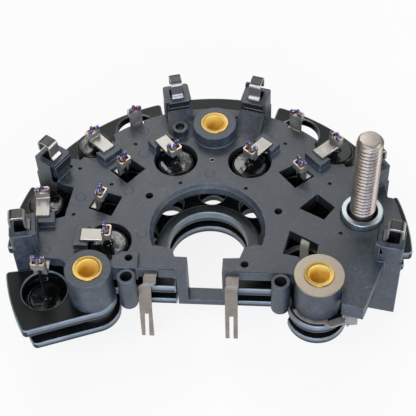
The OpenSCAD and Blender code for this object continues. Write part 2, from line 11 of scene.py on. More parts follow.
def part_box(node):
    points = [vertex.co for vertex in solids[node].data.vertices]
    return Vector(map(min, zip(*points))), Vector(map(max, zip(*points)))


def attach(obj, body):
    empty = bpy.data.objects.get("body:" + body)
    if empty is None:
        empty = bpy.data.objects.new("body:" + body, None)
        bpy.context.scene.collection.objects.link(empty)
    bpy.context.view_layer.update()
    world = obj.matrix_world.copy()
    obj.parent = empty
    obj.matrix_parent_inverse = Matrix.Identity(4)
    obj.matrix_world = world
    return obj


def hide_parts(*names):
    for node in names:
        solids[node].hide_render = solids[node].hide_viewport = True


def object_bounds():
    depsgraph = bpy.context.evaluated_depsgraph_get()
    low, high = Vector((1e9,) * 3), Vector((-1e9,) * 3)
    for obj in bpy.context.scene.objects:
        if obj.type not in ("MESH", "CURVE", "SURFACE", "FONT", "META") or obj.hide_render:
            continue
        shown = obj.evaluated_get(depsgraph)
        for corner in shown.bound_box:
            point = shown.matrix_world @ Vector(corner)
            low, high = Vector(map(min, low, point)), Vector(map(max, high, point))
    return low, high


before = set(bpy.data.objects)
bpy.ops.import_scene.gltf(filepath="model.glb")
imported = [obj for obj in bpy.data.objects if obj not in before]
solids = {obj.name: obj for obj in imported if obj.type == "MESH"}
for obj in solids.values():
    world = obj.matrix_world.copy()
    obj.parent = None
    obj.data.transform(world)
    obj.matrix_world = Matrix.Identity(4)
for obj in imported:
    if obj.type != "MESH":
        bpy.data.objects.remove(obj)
cad_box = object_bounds()

MM = 0.001
UP = Vector((0.0, 0.0, 1.0))


def foot_of(node):
    """Lowest height of a node, in mm."""
    return round(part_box(node)[0][2] / MM, 2)


def top_of(node):
    """Highest height of a node, in mm."""
    return round(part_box(node)[1][2] / MM, 2)


def axis_of(node):
    """Place in mm of the upright axis of a round node."""
    low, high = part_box(node)
    return tuple(round((a + b) / 2 / MM, 2) for a, b in zip(low[:2], high[:2]))


# heights in mm: faces of the moulding and the plates, tops of the diode cups, the towers, the forks and the strap, foot
# of the folded part of the forks, and the lowest point
FACE_Z = 18.5
POS_TOP = foot_of("stud_sleeve")
NEG_TOP = top_of("negative_heat_sink")
POS_CAP = POS_TOP + 8.0
NEG_CAP = NEG_TOP + 3.2
TOWER_TOP = top_of("insulator_plate")
FORK_TOP = top_of("diode_pos_1")
CLIP_FOOT = FORK_TOP - 3.9
STRIP_Z = top_of("link_strap")
LOWEST_Z = round(cad_box[0][2] / MM, 2)

# an edge that bends by less than the first is flat; by more than the others it gets eased, is shaded sharp, or counts
# as a corner of a plate
FLAT_EDGE, HARD_EDGE, SHARP_EDGE, CORNER_EDGE = [math.radians(a) for a in (0.8, 32, 38, 40)]
# upright corners of the plates lie further out than this
OUTER_R = 58.0
# a wall that faces another wall of its piece within this distance belongs to a window, or to a hole in a plate
WINDOW_SPAN = 19.0
HOLE_SPAN = 17.0
# the windows lie within this distance of the shaft and behind this line
WINDOW_R, WINDOW_FRONT = 50.0, -11.0

# half sizes of a lead tower, out from the shaft and across, and the height at which it leaves the face
TOWER_HALF = (4.1, 4.3)
TOWER_FOOT = FACE_Z + 0.37
# polar angle, distance from the shaft axis and direction of each lead tower
TOWER_AT = [(104.73, 51.9, 104.5), (75.27, 51.9, 75.5), (156.75, 55.73, 147), (23.25, 55.73, 33), (187, 56.62, 190),
            (-7, 56.62, -10)]

# bores in the moulding: place, radius, lowest and highest height
TUBE_R, PEG_R, SCREW_R = 1.85, 1.55, 1.25
POST_HOLE = (12.2, -13.4)
BORES = [((-23.3, -20.2), TUBE_R, 6.0, 20.0), ((23.3, -20.2), TUBE_R, 6.0, 20.0), ((-11.5, 39.5), PEG_R, 15.0, 21.5),
         ((-19.3, 12.2), SCREW_R, 14.3, FACE_Z), ((21.9, 7.4), SCREW_R, 14.3, FACE_Z),
         (POST_HOLE, SCREW_R, 14.3, FACE_Z), ((-23.1, -13.7), SCREW_R, 14.3, 20.5)]

# the two posts at the front: where they begin and end across, their front, and the back of the wall behind them
POST_X = (5.5, 8.5)
POST_FRONT = -16.38
POST_BACK = (-13.4, -11.4)
# ring-shaped slot around the shaft, whose ends the shoulders close
SLOT_R = 18.5

# link strap: where it leaves the moulding and where it turns down, and the hole in the upper plate that it passes
STRAP_FROM = (32.2, 2.0)
STRAP_TO = (30.3, -2.9)
STRAP_HOLE = (30.2, -6.2)
STRAP_HOLE_R = 7.05
# the side terminal's root: inner and outer radius round the right boss, and the edge where the tab starts
TAB_ROOT_R = (7.05, 8.2)
TAB_FOOT = [(38.95, -29.35), (38.0, -27.2)]

# axes of the diodes, and the direction in which the fork of each opens
POS_AT = [axis_of("diode_pos_%d" % i) for i in range(1, 7)]
POS_DIR = [130, 50, 180, 277, 317, 223]
NEG_AT = [axis_of("diode_neg_%d" % i) for i in range(1, 7)]
NEG_DIR = [301.6, 238.4, 140, 40, 160, 90]
FORKS = list(zip(POS_AT + NEG_AT, POS_DIR + NEG_DIR))

BUSH_AT = {side: axis_of("mounting_bush_" + side) for side in ("top", "left", "right")}
BORE_R, BUSH_R, FLANGE_R = 3.1, 4.0, 4.6
# a diode is pressed in up to its collar, and its lead is swollen at the welded tip
PRESS_R, COLLAR_R, CUP_R = 6.3, 6.6, 5.75
LEAD_R, TIP_R = 0.45, 0.6
STUD_AT = axis_of("output_stud")
THREAD_R, NECK_R, GRIP_R, HEAD_R = 4.0, 3.6, 4.25, 6.5

# places of the ejector sockets, the eyelet and the plain round marks of the mould, these with their radius
SOCKET_R = 0.63
EYELET_AT = (-0.2, 27.9)
PIN_AT = [(-9.8, 17.8), (11.3, 16.3), (-32, 16.4), (-42.6, 3.7), (-43.1, 22.6), (-26, 33.8), (-15.6, 44.5),
          (7, 46.8), (23.4, 35.7), (38, 19.2), (41.3, -0.5), EYELET_AT]
MARK_AT = [(-22.8, 30.1, 2.1), (-23.5, 39.8, 1.7), (-26.1, 13.9, 1.7), (-20.2, -3.1, 1.7), (-0.6, 22.1, 1.7),
           (-41.2, 10.9, 1.7), (-49.3, -10.4, 1.5), (46.2, -24.2, 1.5)]

# lamps: place in metres, side in metres, power in watts and tint
LAMPS = {"softbox_back": ((-0.05, 0.55, 0.65), 0.7, 2.4, "ffffff"),
         "window_back": ((-0.14, 0.6, 0.72), 0.22, 1.0, "ffffff"),
         "softbox_left": ((-0.3, -0.4, 0.75), 0.45, 2.9, "fff8ee"),
         "softbox_front": ((0.05, -0.8, 0.3), 0.5, 5.7, "cddeff"),
         "softbox_right": ((0.7, -0.1, 0.4), 0.35, 2.2, "ffffff")}
LAMP_AIM = Vector((0.0, 0.0, 0.01))
# the photograph's camera: width and focal length in pixels, height and turn and roll in degrees, distance and aim in mm
PHOTO_WIDTH = 416
FOCAL_PIXELS = 1150
CAMERA_HEIGHT, CAMERA_TURN, CAMERA_ROLL = 51.77, 6.1, -3.1
CAMERA_DISTANCE = 363.2
CAMERA_AIM = (-0.29, 7.92, FACE_Z)


def linear(colour):
    """An sRGB hex colour as linear RGBA."""
    parts = [int(colour[i : i + 2], 16) / 255 for i in (0, 2, 4)]
    return (*[c / 12.92 if c <= 0.04045 else ((c + 0.055) / 1.055) ** 2.4 for c in parts], 1.0)


def add(tree, kind, settings=None, links=None):
    """One shader node with its settings, and its links as input: (node, output)."""
    node = tree.nodes.new(kind)
    for key, value in (settings or {}).items():
        if key == "stops":
            while len(node.color_ramp.elements) < len(value):
                node.color_ramp.elements.new(1.0)
            for stop, (place, colour) in zip(node.color_ramp.elements, value):
                stop.position = place
                stop.color = linear(colour)
        elif isinstance(key, int) or key in node.inputs:
            node.inputs[key].default_value = value
        else:
            setattr(node, key, value)
    for key, (source, output) in (links or {}).items():
        tree.links.new(source.outputs[output], node.inputs[key])
    return node


def finish_named(name):
    """A material without nodes, and its node tree."""
    material = bpy.data.materials.new(name)
    material.use_nodes = True
    material.node_tree.nodes.clear()
    return material, material.node_tree


def moulded_polyester(name, dark, mid, light, dust_colour, rough_from=0.3, rough_to=0.6):
    """Glass-filled polyester, injection moulded: dark slate grey, half matt, with a fine grain from the mould,
    faint cloudy flow marks and a little dust that lightens it."""
    material, tree = finish_named(name)
    place = add(tree, "ShaderNodeTexCoord")
    flow = add(tree, "ShaderNodeTexNoise", {"Scale": 1 / 0.004, "Detail": 9.0, "Roughness": 0.72, "Distortion": 0.6},
               {"Vector": (place, "Object")})
    colour = add(tree, "ShaderNodeValToRGB", {"stops": [(0.34, dark), (0.5, mid), (0.68, light)]},
                 {"Fac": (flow, "Fac")})
    # grain of about 0.35 mm, drawn coarser than the real one so that it shows
    grain = add(tree, "ShaderNodeTexNoise", {"Scale": 1 / 0.00035, "Detail": 3.0, "Roughness": 0.55},
                {"Vector": (place, "Object")})
    dust = add(tree, "ShaderNodeTexNoise", {"Scale": 1 / 0.0011, "Detail": 4.0, "Roughness": 0.7},
               {"Vector": (place, "Object")})
    specks = add(tree, "ShaderNodeValToRGB", {"stops": [(0.57, "000000"), (0.74, "9a9a9a")]}, {"Fac": (dust, "Fac")})
    dusty = add(tree, "ShaderNodeMix", {"data_type": "RGBA", "blend_type": "MIX", 7: linear(dust_colour)},
                {0: (specks, "Color"), 6: (colour, "Color")})
    gloss = add(tree, "ShaderNodeMapRange",
                {"From Min": 0.3, "From Max": 0.7, "To Min": rough_from, "To Max": rough_to},
                {"Value": (flow, "Fac")})
    relief = add(tree, "ShaderNodeBump", {"Strength": 0.5, "Distance": 0.00012}, {"Height": (grain, "Fac")})
    shader = add(tree, "ShaderNodeBsdfPrincipled", {"IOR": 1.57},
                 {"Base Color": (dusty, 2), "Roughness": (gloss, "Result"), "Normal": (relief, "Normal")})
    add(tree, "ShaderNodeOutputMaterial", {}, {"Surface": (shader, "BSDF")})
    return material


def stamped_aluminium(name, dark, mid, light, torn_z=None, torn="1a1e20", metallic=0.42):
    """Stamped aluminium plate gone dull and dark: a grey skin with cloudy stains. A sheared wall is burnished above
    the height torn_z, in mm, and torn and dark below it."""
    material, tree = finish_named(name)
    place = add(tree, "ShaderNodeTexCoord")
    stains = add(tree, "ShaderNodeTexNoise", {"Scale": 1 / 0.009, "Detail": 6.0, "Roughness": 0.62},
                 {"Vector": (place, "Object")})
    colour = add(tree, "ShaderNodeValToRGB", {"stops": [(0.3, dark), (0.52, mid), (0.75, light)]},
                 {"Fac": (stains, "Fac")})
    skin, output = colour, "Color"
    if torn_z is not None:
        axes = add(tree, "ShaderNodeSeparateXYZ", {}, {"Vector": (place, "Object")})
        below = add(tree, "ShaderNodeMapRange",
                    {"From Min": (torn_z + 0.2) * MM, "From Max": (torn_z - 0.2) * MM, "To Min": 0.0, "To Max": 0.9},
                    {"Value": (axes, "Z")})
        skin = add(tree, "ShaderNodeMix", {"data_type": "RGBA", 7: linear(torn)},
                   {0: (below, "Result"), 6: (colour, "Color")})
        output = 2
    gloss = add(tree, "ShaderNodeMapRange", {"From Min": 0.3, "From Max": 0.7, "To Min": 0.34, "To Max": 0.5},
                {"Value": (stains, "Fac")})
    # rolling marks about 0.5 mm apart
    rolled = add(tree, "ShaderNodeMapping", {"Scale": (1 / 0.012, 1 / 0.0005, 1 / 0.0005)},
                 {"Vector": (place, "Object")})
    marks = add(tree, "ShaderNodeTexNoise", {"Scale": 1.0, "Detail": 2.0}, {"Vector": (rolled, "Vector")})
    relief = add(tree, "ShaderNodeBump", {"Strength": 0.2, "Distance": 0.00005}, {"Height": (marks, "Fac")})
    shader = add(tree, "ShaderNodeBsdfPrincipled", {"Metallic": metallic},
                 {"Base Color": (skin, output), "Roughness": (gloss, "Result"), "Normal": (relief, "Normal")})
    add(tree, "ShaderNodeOutputMaterial", {}, {"Surface": (shader, "BSDF")})
    return material


def turned_brass(name, dark, mid, light, rough_from, rough_to, metallic):
    """Brass turned on a lathe: warm gold with fine rings of the tool and a slightly browner bloom in patches."""
    material, tree = finish_named(name)
    place = add(tree, "ShaderNodeTexCoord")
    bloom = add(tree, "ShaderNodeTexNoise", {"Scale": 1 / 0.004, "Detail": 4.0}, {"Vector": (place, "Object")})
    colour = add(tree, "ShaderNodeValToRGB", {"stops": [(0.3, dark), (0.55, mid), (0.75, light)]},
                 {"Fac": (bloom, "Fac")})
    gloss = add(tree, "ShaderNodeMapRange",
                {"From Min": 0.3, "From Max": 0.7, "To Min": rough_from, "To Max": rough_to},
                {"Value": (bloom, "Fac")})
    # tool rings 0.3 mm apart, taken along the height of the bush
    rings = add(tree, "ShaderNodeTexWave", {"Scale": 1 / 0.0019, "Distortion": 1.5, "bands_direction": "Z"},
                {"Vector": (place, "Object")})
    relief = add(tree, "ShaderNodeBump", {"Strength": 0.12, "Distance": 0.00004}, {"Height": (rings, "Fac")})
    shader = add(tree, "ShaderNodeBsdfPrincipled", {"Metallic": metallic},
                 {"Base Color": (colour, "Color"), "Roughness": (gloss, "Result"), "Normal": (relief, "Normal")})
    add(tree, "ShaderNodeOutputMaterial", {}, {"Surface": (shader, "BSDF")})
    return material


def plated_steel(name, dark, light, rough_from, rough_to, cloud_mm, line_mm=(4.0, 0.15, 0.6), metallic=1.0):
    """Plated steel: a satin metal whose plating clouds a little and carries fine lines: handling scratches, or on
    rolled strip the drawing marks along it."""
    material, tree = finish_named(name)
    place = add(tree, "ShaderNodeTexCoord")
    clouds = add(tree, "ShaderNodeTexNoise", {"Scale": 1 / (cloud_mm * MM), "Detail": 5.0, "Roughness": 0.6},
                 {"Vector": (place, "Object")})
    colour = add(tree, "ShaderNodeValToRGB", {"stops": [(0.3, dark), (0.7, light)]}, {"Fac": (clouds, "Fac")})
    gloss = add(tree, "ShaderNodeMapRange",
                {"From Min": 0.3, "From Max": 0.7, "To Min": rough_from, "To Max": rough_to},
                {"Value": (clouds, "Fac")})
    # lines about 0.15 mm wide and a few millimetres long
    drawn = add(tree, "ShaderNodeMapping", {"Scale": [1 / (v * MM) for v in line_mm]}, {"Vector": (place, "Object")})
    scratches = add(tree, "ShaderNodeTexNoise", {"Scale": 1.0, "Detail": 2.0}, {"Vector": (drawn, "Vector")})
    relief = add(tree, "ShaderNodeBump", {"Strength": 0.14, "Distance": 0.00003}, {"Height": (scratches, "Fac")})
    shader = add(tree, "ShaderNodeBsdfPrincipled", {"Metallic": metallic},
                 {"Base Color": (colour, "Color"), "Roughness": (gloss, "Result"), "Normal": (relief, "Normal")})
    add(tree, "ShaderNodeOutputMaterial", {}, {"Surface": (shader, "BSDF")})
    return material


def tinned_copper():
    """Tinned copper strip: pale warm silver, satin, with the blue, purple and straw of welding heat on the tips
    of the forks, and painted highlight and shade on the hooks."""
    material, tree = finish_named("tinned_copper")
    place = add(tree, "ShaderNodeTexCoord")
    cloud = add(tree, "ShaderNodeTexNoise", {"Scale": 1 / 0.003, "Detail": 5.0}, {"Vector": (place, "Object")})
    clean = add(tree, "ShaderNodeValToRGB", {"stops": [(0.3, "84817b"), (0.55, "a09d96"), (0.75, "b6b3ad")]},
                {"Fac": (cloud, "Fac")})
    axes = add(tree, "ShaderNodeSeparateXYZ", {}, {"Vector": (place, "Object")})
    # on the hooks the colour follows the slope of the surface: grey legs, bends painted bright, crowns painted dark on
    # top; painted highlight and shade
    facing = add(tree, "ShaderNodeNewGeometry")
    slope = add(tree, "ShaderNodeSeparateXYZ", {}, {"Vector": (facing, "Normal")})
    painted_slope_light = add(tree, "ShaderNodeValToRGB",
               {"stops": [(0.0, "8a867f"), (0.22, "9a968f"), (0.45, "c9c6c0"), (0.78, "bfbcb6"), (0.95, "232322")]},
               {"Fac": (slope, "Z")})
    hooked = add(tree, "ShaderNodeMapRange",
                 {"From Min": (TOWER_TOP + 0.1) * MM, "From Max": (TOWER_TOP + 0.5) * MM, "To Min": 0.0, "To Max": 0.9},
                 {"Value": (axes, "Z")})
    tin = add(tree, "ShaderNodeMix", {"data_type": "RGBA"},
              {0: (hooked, "Result"), 6: (clean, "Color"), 7: (painted_slope_light, "Color")})
    # heat reaches about 2 mm down from the welded tips: straw, brown, purple and blue toward the end
    near = add(tree, "ShaderNodeMapRange",
               {"From Min": (FORK_TOP - 2.6) * MM, "From Max": (FORK_TOP - 1.2) * MM, "To Min": 0.0, "To Max": 0.9},
               {"Value": (axes, "Z")})
    below = add(tree, "ShaderNodeMath", {"operation": "LESS_THAN", 1: (FORK_TOP + 0.28) * MM}, {0: (axes, "Z")})
    heat = add(tree, "ShaderNodeMath", {"operation": "MULTIPLY"}, {0: (near, "Result"), 1: (below, "Value")})
    patches = add(tree, "ShaderNodeTexNoise", {"Scale": 1 / 0.0016, "Detail": 2.0}, {"Vector": (place, "Object")})
    height = add(tree, "ShaderNodeMapRange", {"From Min": (FORK_TOP - 2.6) * MM, "From Max": (FORK_TOP + 0.1) * MM},
                 {"Value": (axes, "Z")})
    uneven = add(tree, "ShaderNodeMath", {"operation": "MULTIPLY_ADD", 1: 1.1, 2: -0.55}, {0: (patches, "Fac")})
    reach = add(tree, "ShaderNodeMath", {"operation": "ADD"}, {0: (height, "Result"), 1: (uneven, "Value")})
    temper = add(tree, "ShaderNodeValToRGB",
                 {"stops": [(0.3, "b5b1aa"), (0.5, "bf9a6a"), (0.62, "9c5f3a"), (0.74, "6b4468"), (0.84, "3a3f9c"),
                            (1.0, "5258b4")]},
                 {"Fac": (reach, "Value")})
    tinted = add(tree, "ShaderNodeMix", {"data_type": "RGBA"},
                 {0: (heat, "Value"), 6: (tin, 2), 7: (temper, "Color")})
    gloss = add(tree, "ShaderNodeMapRange", {"From Min": 0.3, "From Max": 0.7, "To Min": 0.3, "To Max": 0.46},
                {"Value": (cloud, "Fac")})
    fine = add(tree, "ShaderNodeTexNoise", {"Scale": 1 / 0.0004, "Detail": 3.0}, {"Vector": (place, "Object")})
    relief = add(tree, "ShaderNodeBump", {"Strength": 0.15, "Distance": 0.00004}, {"Height": (fine, "Fac")})
    shader = add(tree, "ShaderNodeBsdfPrincipled", {"Metallic": 0.6},
                 {"Base Color": (tinted, 2), "Roughness": (gloss, "Result"), "Normal": (relief, "Normal")})
    add(tree, "ShaderNodeOutputMaterial", {}, {"Surface": (shader, "BSDF")})
    return material


def sealing_resin():
    """Silicone resin poured on a diode: dark grey, glossy like a still puddle, with slow waves and duller smears."""
    material, tree = finish_named("sealing_resin")
    place = add(tree, "ShaderNodeTexCoord")
    lumps = add(tree, "ShaderNodeTexNoise", {"Scale": 1 / 0.0045, "Detail": 3.0, "Distortion": 0.8},
                {"Vector": (place, "Object")})
    colour = add(tree, "ShaderNodeValToRGB", {"stops": [(0.32, "060708"), (0.5, "0e1011"), (0.7, "232628")]},
                 {"Fac": (lumps, "Fac")})
    gloss = add(tree, "ShaderNodeMapRange", {"From Min": 0.35, "From Max": 0.7, "To Min": 0.04, "To Max": 0.2},
                {"Value": (lumps, "Fac")})
    relief = add(tree, "ShaderNodeBump", {"Strength": 0.6, "Distance": 0.0005}, {"Height": (lumps, "Fac")})
    shader = add(tree, "ShaderNodeBsdfPrincipled", {"IOR": 1.45},
                 {"Base Color": (colour, "Color"), "Roughness": (gloss, "Result"), "Normal": (relief, "Normal")})
    add(tree, "ShaderNodeOutputMaterial", {}, {"Surface": (shader, "BSDF")})
    return material


POLYESTER = moulded_polyester("moulded_polyester", "262b31", "343b43", "465059", "87919b", 0.34, 0.54)
# the eased edges of the moulding are painted lighter: a painted highlight
POLYESTER_EDGE_HIGHLIGHT = moulded_polyester("painted_highlight_polyester_edge", "404851", "525b65", "65707c", "838e99")
# black polyester: the real colour of the spacers, and painted shade on the floors of the ejector sockets
BLACK_MOULDING_AND_SHADE = moulded_polyester("black_polyester_and_painted_shade", "0b0c0d", "111213", "18191b", "2a2c2f")
# near-black and rough: painted shade in the pockets, windows, wells and bores
SHADE_WALL = moulded_polyester("painted_shade_polyester_wall", "060607", "0a0b0c", "101113", "1c1d1f", 0.75, 0.95)
UPPER_PLATE = stamped_aluminium("stamped_aluminium_upper", "121414", "1b1e1e", "2a2e2e", metallic=0.75)
LOWER_PLATE = stamped_aluminium("stamped_aluminium_lower", "0c0e0f", "15191b", "252a2d")
# the eased edges of the plates are painted pale: a painted highlight
SHEARED_EDGE_HIGHLIGHT = stamped_aluminium("sheared_aluminium_edge_highlight", "6f7a82", "87929a", "a3adb4")
# the top of a raised rim is painted lighter than the plate: painted light
RIM_TOP_LIGHT = stamped_aluminium("painted_light_aluminium_rim_top", "262a2a", "343939", "464b4b", metallic=0.6)
# sheared walls, burnished above and torn below; only walls open to the room get them: painted light
UPPER_WALL = stamped_aluminium("sheared_wall_upper", "5c666f", "737e88", "8d98a2", POS_TOP - 1.7)
LOWER_WALL = stamped_aluminium("sheared_wall_lower", "5c666f", "737e88", "8d98a2", NEG_TOP - 1.2)
BRASS = turned_brass("turned_brass", "96783f", "ad8f52", "c2a873", 0.3, 0.46, 1.0)
# a bore left as drilled, painted much paler than the flange and given little metal so that it looks lit deep down:
# painted light
BRASS_BORE_LIGHT = turned_brass("drilled_brass_bore_painted_light", "f4c850", "f9d66e", "fde698", 0.45, 0.6, 0.1)
TIN = tinned_copper()
# the pale rim of the hole under the strap: painted light
PAINTED_LIGHT_RIM = plated_steel("painted_light_hole_rim", "a9b2be", "ccd4dd", 0.5, 0.62, 2.0, (0.5, 0.5, 0.5), 0.3)
# the strap in the window is dull tin, painted paler than the other tin so that it shows bright where little light
# reaches: painted light
STRAP_TIN = plated_steel("pale_tinned_strap_painted_light", "b9b9b2", "d9d9d3", 0.5, 0.65, 2.0, (0.3, 0.3, 3.0), 0.35)
# the eased edges of the strips are painted pale: a painted highlight
TIN_EDGE_HIGHLIGHT = plated_steel("sheared_tin_edge_highlight", "bdb9b2", "dedbd5", 0.22, 0.34, 2.0)
RESIN = sealing_resin()
STUD_STEEL = plated_steel("yellow_zinc_steel", "9c938d", "bdb3ac", 0.4, 0.54, 5.0)
# the roots of the thread are painted darker: painted shade in the grooves
THREAD_GROOVE_SHADE = plated_steel("painted_shade_thread_groove", "5d5652", "7d7570", 0.42, 0.56, 3.0)
ZINC_STEEL = plated_steel("blue_zinc_steel", "a3aeb4", "c3ccd0", 0.34, 0.48, 3.0)
WASHER_STEEL = plated_steel("nickel_washer_steel", "948a7d", "afa595", 0.4, 0.55, 3.5)
SPRING_STEEL = plated_steel("spring_strip_steel", "857e76", "a19990", 0.44, 0.58, 4.0, (0.2, 0.2, 8.0))
DIODE_CUP = plated_steel("nickelled_copper_cup", "2f3132", "4c4f50", 0.4, 0.55, 2.5)
DULL_STEEL = plated_steel("dull_terminal_steel", "7b7972", "a3a098", 0.4, 0.55, 3.0, metallic=0.5)


def piece_from(name, bm, material, replaced=(), others=()):
    """A new piece of the object from a bmesh in metres, riding on the one body. Faces of index 1 and up get the other
    finishes."""
    mesh = bpy.data.meshes.new(name)
    bm.to_mesh(mesh)
    bm.free()
    mesh.set_sharp_from_angle(angle=SHARP_EDGE)
    for face in mesh.polygons:
        face.use_smooth = True
    mesh.materials.append(material)
    for other in others:
        mesh.materials.append(other)
    piece = bpy.data.objects.new(name, mesh)
    bpy.context.scene.collection.objects.link(piece)
    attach(piece, "root")
    if replaced:
        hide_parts(*replaced)
    return piece


def box_at(bm, mid, out, side, low, high):
    """A box in mm between two corners (along out, along side, height) around mid."""
    corners = []
    for z in (low[2], high[2]):
        for u, v in ((low[0], low[1]), (high[0], low[1]), (high[0], high[1]), (low[0], high[1])):
            corners.append(bm.verts.new((mid + out * u + side * v + UP * z) * MM))
    for ring in ((3, 2, 1, 0), (4, 5, 6, 7), (0, 1, 5, 4), (1, 2, 6, 5), (2, 3, 7, 6), (3, 0, 4, 7)):
        bm.faces.new([corners[i] for i in ring])


def skin(bm, rows, closed=True):
    """Faces between each row of vertices and the next. A closed row also joins its last vertex to its first."""
    for here, there in zip(rows, rows[1:]):
        for i in range(len(here) if closed else len(here) - 1):
            j = (i + 1) % len(here)
            bm.faces.new((here[i], here[j], there[j], there[i]))


def directions(turn):
    """The level direction at an angle in degrees, and the one a quarter turn to its left."""
    a = math.radians(turn)
    ahead = Vector((math.cos(a), math.sin(a), 0.0))
    return ahead, Vector((-ahead.y, ahead.x, 0.0))


def towers():
    """Foot of the middle line, outward direction and sideways direction of each lead tower."""
    for polar, radius, turn in TOWER_AT:
        p = math.radians(polar)
        yield Vector((radius * math.cos(p), radius * math.sin(p), 0.0)), *directions(turn)


def arc(at, radius, turns):
    """Points of a circle in plan, at angles in degrees."""
    return [(at[0] + radius * math.cos(math.radians(t)), at[1] + radius * math.sin(math.radians(t))) for t in turns]


def cut_out(bm, cutter):
    """The shape bm with the shape cutter taken away. Both are used up."""
    made = []
    for part in (bm, cutter):
        bmesh.ops.recalc_face_normals(part, faces=part.faces)
        mesh = bpy.data.meshes.new("cutting")
        part.to_mesh(mesh)
        part.free()
        made.append(bpy.data.objects.new("cutting", mesh))
        bpy.context.scene.collection.objects.link(made[-1])
    cut = made[0].modifiers.new("cut", "BOOLEAN")
    cut.object = made[1]
    cut.solver = "EXACT"
    left = made[0].evaluated_get(bpy.context.evaluated_depsgraph_get())
    result = bmesh.new()
    result.from_mesh(left.to_mesh())
    left.to_mesh_clear()
    for piece in made:
        mesh = piece.data
        bpy.data.objects.remove(piece)
        bpy.data.meshes.remove(mesh)
    return result


def open_towers(bm):
    """The moulding with round corners on its towers, the way up for the stator lead through each roof, and the deep
    pocket under the lip; the faces of the last two get index 2, a near-black finish that is painted shade."""
    u0, v0 = TOWER_HALF
    round_r, more = 1.2, 0.3
    cutter = bmesh.new()
    for mid, out, side in towers():
        for su in (-1, 1):
            for sv in (-1, 1):
                plan = [(u0 + more, v0 + more), (u0 + more, v0 - round_r), (u0, v0 - round_r)]
                for k in range(1, 8):
                    a = math.radians(90 * k / 8)
                    plan.append((u0 - round_r * (1 - math.cos(a)), v0 - round_r * (1 - math.sin(a))))
                plan += [(u0 - round_r, v0), (u0 - round_r, v0 + more)]
                rows = [[cutter.verts.new((mid + out * su * u + side * sv * v + UP * z) * MM)
                         for u, v in plan] for z in (TOWER_FOOT, TOWER_TOP + 1.0)]
                cutter.faces.new(rows[0])
                cutter.faces.new(rows[1])
                skin(cutter, rows)
    bm = cut_out(bm, cutter)
    way_up = ((-1.5, -2.2, TOWER_TOP - 8.0), (2.5, 2.2, TOWER_TOP + 1.0))
    pocket = ((-u0 - 0.5, -v0 + 0.7, TOWER_TOP - 3.8), (-u0 + 1.25, v0 - 0.7, TOWER_TOP - 0.5))
    cutter = bmesh.new()
    for mid, out, side in towers():
        for low, high in (way_up, pocket):
            box_at(cutter, mid, out, side, low, high)
    bm = cut_out(bm, cutter)
    # faces in the way up and in the pockets get index 2: painted shade
    for face in bm.faces:
        for mid, out, side in towers():
            from_mid = face.calc_center_median() / MM - mid
            here = (from_mid.dot(out), from_mid.dot(side), from_mid.z)
            for low, high in (way_up, pocket):
                if all(a - 0.01 < h < b + 0.01 for a, h, b in zip(low, here, high)) and here[2] < TOWER_TOP - 0.01:
                    face.material_index = 2
    # so do the walls of the windows and of the wells over the diodes: painted shade where they face another wall close
    # by
    tree = BVHTree.FromBMesh(bm)
    for face in bm.faces:
        ahead, here = face.normal.copy(), face.calc_center_median()
        inside = here.xy.length < WINDOW_R * MM and here.y > WINDOW_FRONT * MM
        inside = inside and FACE_Z - 4.5 < here.z / MM < FACE_Z - 0.3
        if inside and abs(ahead.z) < 0.3 and tree.ray_cast(here + ahead * 1e-5, ahead, WINDOW_SPAN * MM)[0] is not None:
            face.material_index = 2
    return bm


def open_walls(bm):
    """A plate whose upright walls get index 2, the pale sheared finish, where nothing of the plate stands close in
    front of
    them: its outer edges and the shaft opening, not the walls of its holes, which keep the dark skin. So walls open to
    the room are painted light and walls in holes painted shade. The top of a raised rim gets index 3, painted lighter."""
    tree = BVHTree.FromBMesh(bm)
    for face in bm.faces:
        ahead = face.normal.copy()
        here = face.calc_center_median()
        if abs(ahead.z) < 0.3 and tree.ray_cast(here + ahead * 1e-5, ahead, HOLE_SPAN * MM)[0] is None:
            face.material_index = 2
        elif ahead.z > 0.9 and here.z > (POS_TOP + 0.5) * MM:
            face.material_index = 3
    return bm


def ease(bm, edges, radius, steps, finish=-1, clamp=False):
    """Rounds edges of a bmesh by a radius in mm. The new faces get the finish of that index, or with -1 that of the
    faces beside them."""
    bmesh.ops.bevel(bm, geom=edges, offset=radius * MM, offset_type="OFFSET", segments=steps, profile=0.5,
                    affect="EDGES", clamp_overlap=clamp, loop_slide=False, material=finish)


